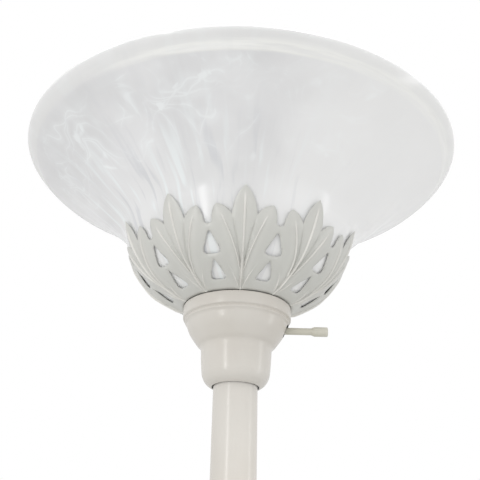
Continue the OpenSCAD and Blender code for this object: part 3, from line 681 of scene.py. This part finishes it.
def cup_outline():
    """Outside of the turned cup from its rim down to the pole, and back up inside."""
    rim = [Vector((CUP_R - 1.6, 0)), Vector((CUP_R - 1.6, -SEAM))]
    rim += bend((CUP_R - 0.7, -SEAM), (CUP_R, -SEAM), (CUP_R, -SEAM - 0.8), 4)
    band = bend((CUP_R, -BAND_H + 1.2), (CUP_R, -BAND_H), (CUP_R - 1.3, -BAND_H - 0.1), 4)
    bead = smooth([(CUP_R - 2.0, -BAND_H - 0.8), (CUP_R - 1.75, -BAND_H - 1.7),
                   (CUP_R - 1.7, -BAND_H - 2.5), (CUP_R - 2.5, -BAND_H - 3.3),
                   (CUP_R - 3.1, -BAND_H - 4.0)], 4)
    bowl = smooth([(CUP_R - 3.5, -15.6), (CUP_R - 4.5, -18.6), (CUP_R - 6.1, -21.9),
                   (CUP_R - 8.7, -25.8), ((CUP_R - 8.7 + NECK_R) / 2 + 0.3, -29.8),
                   (NECK_R + 1.0, -32.4), (NECK_R + 0.1, -34.2)], 5)
    neck = smooth([(NECK_R - 0.1, -36), (NECK_R - 0.5, -43.6), (NECK_R - 1.2, 11.6 - CUP_H),
                   (NECK_R - 2.0, 7.6 - CUP_H), (POLE_R + 6.5, 3.6 - CUP_H),
                   (POLE_R + 3.6, 1.1 - CUP_H), (POLE_R + 1.2, 0.1 - CUP_H)], 5)
    outer = rim + band + bead + bowl + neck
    floor = -CUP_H + SEAT_DEPTH + CUP_FLOOR
    inner = [p for p in beside(outer, -CUP_WALL) if floor + 0.4 < p.y < -BAND_H - 5]
    seat = [(POLE_R + SEAM, -CUP_H + 0.3), (POLE_R + SEAM, -CUP_H + SEAT_DEPTH),
            (BORE_R, -CUP_H + SEAT_DEPTH), (BORE_R, floor), (inner[-1].x, floor)]
    return outer + [Vector(p) for p in seat] + inner[::-1] + [
        Vector((CUP_R - CUP_WALL, -BAND_H)), Vector((CUP_R - CUP_WALL, -0.4)),
        Vector((CUP_R - CUP_WALL + 0.4, 0))]


def bare_and_shaded_inside(piece, within):
    """Leaves unpainted the faces within a radius that look towards the axis, in dark bare steel that
    also stands as painted shade inside.
    """
    piece.data.materials.append(finish["bare_steel"])
    for face in piece.data.polygons:
        out = Vector((face.center.x, face.center.y))
        if out.length < within * MM and face.normal.to_2d().dot(out) < 0:
            face.material_index = 1


def drilled(piece, radius, start, end):
    """Drills a round hole along the line from start to end, and leaves its wall unpainted, in dark
    bare steel that also stands as painted shade in the hole.
    """
    start, end = Vector(start), Vector(end)
    bm = bmesh.new()
    bmesh.ops.create_cone(bm, cap_ends=True, segments=48, radius1=radius, radius2=radius,
                          depth=(end - start).length)
    aim = (end - start).to_track_quat("Z", "Y").to_matrix().to_4x4()
    bmesh.ops.transform(bm, matrix=Matrix.Translation((start + end) / 2) @ aim, verts=bm.verts)
    bmesh.ops.scale(bm, vec=(MM, MM, MM), verts=bm.verts)
    bit = bpy.data.meshes.new(piece.name + "_drill")
    bm.to_mesh(bit)
    bm.free()
    bit.materials.append(finish["bare_steel"])
    tool = bpy.data.objects.new(bit.name, bit)
    bpy.context.scene.collection.objects.link(tool)
    cut = piece.modifiers.new("drill", "BOOLEAN")
    cut.object = tool
    cut.solver = "EXACT"
    cut.material_mode = "TRANSFER"
    shape = piece.evaluated_get(bpy.context.evaluated_depsgraph_get())
    mesh = bpy.data.meshes.new_from_object(shape)
    piece.modifiers.clear()
    piece.data = mesh
    mesh.name = piece.name
    mesh.set_sharp_from_angle(angle=math.radians(SHARP))
    bpy.data.objects.remove(tool)


# Gap between the switch stem and its hole in the cup
STEM_GAP = 2.7
cup = turned("cup", [(p.x, p.y + SEAM_Z) for p in cup_outline()], "socket_cup", "painted_steel")
bare_and_shaded_inside(cup, CUP_R - 1.5)
drilled(cup, STEM_R + STEM_GAP, (CUP_R / 2, 0, STEM_Z), (CUP_R + 5, 0, STEM_Z))
turned("foot", [(p.x, COVER_Z - p.y) for p in cup_outline()], "foot_collar", "painted_steel")

# ---- Pole ----

TUBE_WALL = 1.2
TUBE_EDGE = 0.35


def tube_outline(low, high):
    """A plain tube whose outer edges are broken."""
    inside, flat = POLE_R - TUBE_WALL, POLE_R - TUBE_EDGE
    return [(inside, low), (flat, low), (POLE_R, low + TUBE_EDGE), (POLE_R, high - TUBE_EDGE),
            (flat, high), (inside, high)]


def ring_outline(low, high, radius):
    """A slim joint ring with a round edge."""
    half = bend((POLE_R, low), (radius, low), (radius, (low + high) / 2), 6)
    other_half = [(p.x, low + high - p.y) for p in half[-2::-1]]
    return [(BORE_R, low)] + half + other_half + [(BORE_R, high)]


for name in ("pole_lower", "pole_middle", "pole_upper"):
    turned(name + "_tube", tube_outline(*span(name, 2)), name, "painted_steel", steps=96)
for name in ("joint_ring_lower", "joint_ring_upper"):
    turned(name + "_turned", ring_outline(*span(name, 2), span(name, 0)[1]), name,
           "painted_steel", steps=96)

# ---- Base cover ----

COVER_WALL = 1.5
# Height of the dome and its step over the skirt, and the radius of the skirt's shoulder
DOME_H, SHOULDER = 14.0, 6.0
# Height and radius of the small step under the foot
STEP_H, STEP_R = 2.4, CUP_R + 17


def cover_outline():
    """Upright skirt, round shoulder, low dome and the small step under the foot."""
    shoulder_z = COVER_Z - DOME_H
    dome_z = COVER_Z - STEP_H
    hem = bend((BASE_R - 0.6, COVER_LOW), (BASE_R, COVER_LOW), (BASE_R, COVER_LOW + 0.7), 3)
    shoulder = bend((BASE_R, shoulder_z - SHOULDER), (BASE_R, shoulder_z),
                    (BASE_R - SHOULDER, shoulder_z), 9)
    dome = bend((BASE_R - SHOULDER - 1.2, shoulder_z + 0.35),
                ((BASE_R + STEP_R) / 2, dome_z - 1.2), (STEP_R + 1.4, dome_z), 24)
    step = bend((STEP_R + 0.3, dome_z + 0.3), (STEP_R, COVER_Z), (STEP_R - 2.6, COVER_Z), 6)
    outer = hem + shoulder + dome + step
    inner = beside(outer, COVER_WALL)[5:]
    bore = [(BORE_R, COVER_Z), (BORE_R, COVER_Z - COVER_WALL)]
    return outer + bore + inner[::-1] + [(BASE_R - COVER_WALL, COVER_LOW)]


cover = turned("cover", cover_outline(), "base_cover", "painted_steel", steps=192)
INLET_R = span("inlet_bushing", 0)[1] - 1.2
drilled(cover, INLET_R, (0, BASE_R - 12, INLET_Z), (0, BASE_R + 8, INLET_Z))

# ---- Switch knob and stem ----

ALONG_X = Matrix.Translation((0, 0, STEM_Z)) @ Matrix.Rotation(math.pi / 2, 4, "Y")


def knob_outline():
    """A plain round knob: a short cone, a barrel with soft edges and a shallow dished end."""
    start = span("switch_knob", 0)[0]
    cone = bend((STEM_R + 0.15, start), (STEM_R + 0.5, start + 0.6), (KNOB_R - 0.3, start + 1.7), 4)
    shoulder = bend((KNOB_R - 0.1, start + 1.9), (KNOB_R, start + 2.1), (KNOB_R, start + 2.6), 3)
    end = bend((KNOB_R, KNOB_END - 1.0), (KNOB_R, KNOB_END), (KNOB_R - 1.0, KNOB_END), 6)
    dish = bend((KNOB_R - 1.5, KNOB_END), (KNOB_R - 2.2, KNOB_END - 0.25), (0, KNOB_END - 0.25), 5)
    socket_end = KNOB_END - 3
    socket = [(0, socket_end), (STEM_R, socket_end)]
    return [(STEM_R, start)] + cone + shoulder + end + dish + socket


def stem_outline():
    """A round rod with a small chamfer at its inner end."""
    start, end = span("switch_stem", 0)
    return [(0, start), (STEM_R - 0.3, start), (STEM_R, start + 0.3), (STEM_R, end), (0, end)]


turned("knob", knob_outline(), "switch_knob", "cream_plastic", "switch", 64, ALONG_X)
turned("stem", stem_outline(), "switch_stem", "cream_plastic", "switch", 48, ALONG_X)

# ---- Stage, light and camera ----


def make_floor():
    """A pale round floor, not part of the lamp."""
    bm = bmesh.new()
    bmesh.ops.create_circle(bm, cap_ends=True, segments=96, radius=2.5)
    mesh = bpy.data.meshes.new("floor")
    bm.to_mesh(mesh)
    bm.free()
    floor = bpy.data.objects.new("floor", mesh)
    mesh.materials.append(plain_finish("pale_floor", "#c8c8c6", "#c4c4c2", 0.8, 4, 0.01, 300))
    bpy.context.scene.collection.objects.link(floor)


def soft_light(name, place_at, aim_at, size, power, tall=None):
    """A round soft light, or an upright strip if it is given a height."""
    light = bpy.data.lights.new(name, "AREA")
    light.shape = "RECTANGLE" if tall else "DISK"
    light.size = size
    if tall:
        light.size_y = tall
    light.energy = power
    holder = bpy.data.objects.new(name, light)
    holder.location = place_at
    holder.rotation_euler = (Vector(aim_at) - Vector(place_at)).to_track_quat("-Z", "Y").to_euler()
    bpy.context.scene.collection.objects.link(holder)


def light_the_room():
    """A white room that is a little brighter overhead, with soft lights round the head."""
    world = bpy.data.worlds.new("white_room")
    bpy.context.scene.world = world
    world.use_nodes = True
    tree = world.node_tree
    around = add(tree, "ShaderNodeTexCoord", "Generated")
    up = add(tree, "ShaderNodeSeparateXYZ", "Z", Vector=around)
    walls = add(tree, "ShaderNodeMapRange", "Result", Value=up, From_Min=-0.1, From_Max=0.75,
                To_Min=0.77, To_Max=0.9)
    # the walls themselves look plain white
    seen = add(tree, "ShaderNodeLightPath", "Is Camera Ray")
    strength = add(tree, "ShaderNodeMix", 0, i0=seen, i2=walls, i3=1.0)
    tree.links.new(strength, tree.nodes["Background"].inputs["Strength"])
    tree.nodes["Background"].inputs["Color"].default_value = (1, 1, 1, 1)
    bpy.context.scene.view_settings.view_transform = "Standard"
    head = (0, 0, SEAM_Z * MM)
    soft_light("key", (-1.3, -1.9, 1.5), (0, 0, 1.5), 0.1, 9, tall=1.6)
    soft_light("edge", (2.0, -0.2, 1.5), head, 0.12, 3, tall=1.4)
    soft_light("over", (-1.3, 0.0, 3.5), head, 0.8, 2)
    soft_light("front", (0.8, -1.2, 3.7), (0, 0, 1.3), 0.8, 27)


def make_camera():
    """Stands close in front, below the bowl, and looks up at it."""
    # distances in metres from the pole and below the top of the cup, and turns in degrees
    back, below_seam = 0.5693, 0.21846
    pitch, roll, yaw = 26.236, 1.315, 0.096
    lens = bpy.data.cameras.new("camera")
    lens.sensor_width = 36
    lens.lens = 57.0
    lens.clip_start = 0.01
    holder = bpy.data.objects.new("camera", lens)
    holder.matrix_world = (
        Matrix.Translation((0, -back, SEAM_Z * MM - below_seam))
        @ Matrix.Rotation(-math.radians(yaw), 4, "Z")
        @ Matrix.Rotation(math.radians(90 + pitch), 4, "X")
        @ Matrix.Rotation(math.radians(roll), 4, "Z")
    )
    bpy.context.scene.collection.objects.link(holder)
    bpy.context.scene.camera = holder


make_floor()
light_the_room()
make_camera()
